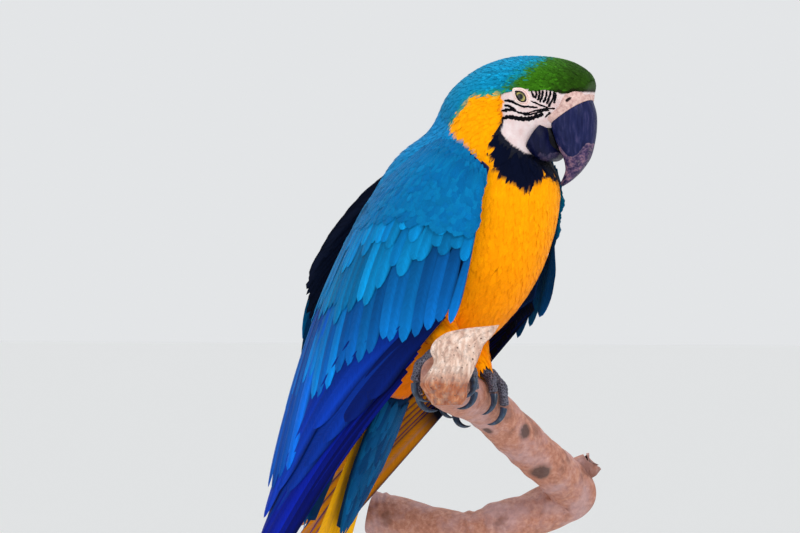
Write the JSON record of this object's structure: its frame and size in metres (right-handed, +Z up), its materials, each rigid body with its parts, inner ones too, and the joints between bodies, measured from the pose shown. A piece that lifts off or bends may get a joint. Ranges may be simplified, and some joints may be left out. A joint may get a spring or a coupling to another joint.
{
  "type": "blue-and-yellow macaw on a perch",
  "caption": "Life-size still macaw with long tail, folded wings and hooked bill, gripping a broken branch held by a disc-base stand.",
  "frame": {"origin": "centre of the stand base's underside, on the floor", "axes": "+Z up; the bird faces -Y, its left side is at +X"},
  "size_m": [0.3, 0.3895, 0.7404],
  "materials": {
    "plumage_crown": "soft head plumage, blue-green",
    "plumage_yellow": "golden-yellow plumage",
    "plumage_blue": "turquoise-blue covert plumage",
    "flight_feathers": "deep blue flight feathers",
    "tail_feathers": "tail feathers, ochre-yellow below and blue above",
    "bill": "satin black horn",
    "eye": "glass eye, pale yellow iris",
    "scaly_skin": "dark grey scaly skin",
    "claw": "dark polished claw",
    "bark": "pinkish-brown weathered bark",
    "broken_wood": "pale splintered wood",
    "steel": "brushed steel stand"
  },
  "bodies": {
    "root": {"bill_lower": "bill", "bill_upper": "bill", "claw_hind_inner_left": "claw", "claw_hind_inner_right": "claw", "claw_hind_outer_left": "claw", "claw_hind_outer_right": "claw", "claw_inner_left": "claw", "claw_inner_right": "claw", "claw_outer_left": "claw", "claw_outer_right": "claw", "eye_left": "eye", "eye_right": "eye", "head": "plumage_crown", "neck": "plumage_yellow", "perch_branch": "bark", "perch_limb": "bark", "perch_nub": "bark", "perch_stump": "broken_wood", "rump": "plumage_blue", "shank_left": "scaly_skin", "shank_right": "scaly_skin", "stand_base": "steel", "stand_rod_1": "steel", "stand_rod_2": "steel", "tail_left": "tail_feathers", "tail_right": "tail_feathers", "thigh_left": "plumage_yellow", "thigh_right": "plumage_yellow", "toe_hind_inner_left": "scaly_skin", "toe_hind_inner_right": "scaly_skin", "toe_hind_outer_left": "scaly_skin", "toe_hind_outer_right": "scaly_skin", "toe_inner_left": "scaly_skin", "toe_inner_right": "scaly_skin", "toe_outer_left": "scaly_skin", "toe_outer_right": "scaly_skin", "trunk": "plumage_yellow", "undertail_coverts": "plumage_blue", "uppertail_coverts": "plumage_blue", "wing_left_coverts": "plumage_blue", "wing_left_primaries": "flight_feathers", "wing_left_secondaries": "flight_feathers", "wing_right_coverts": "plumage_blue", "wing_right_primaries": "flight_feathers", "wing_right_secondaries": "flight_feathers"}
  },
  "joints": []
}
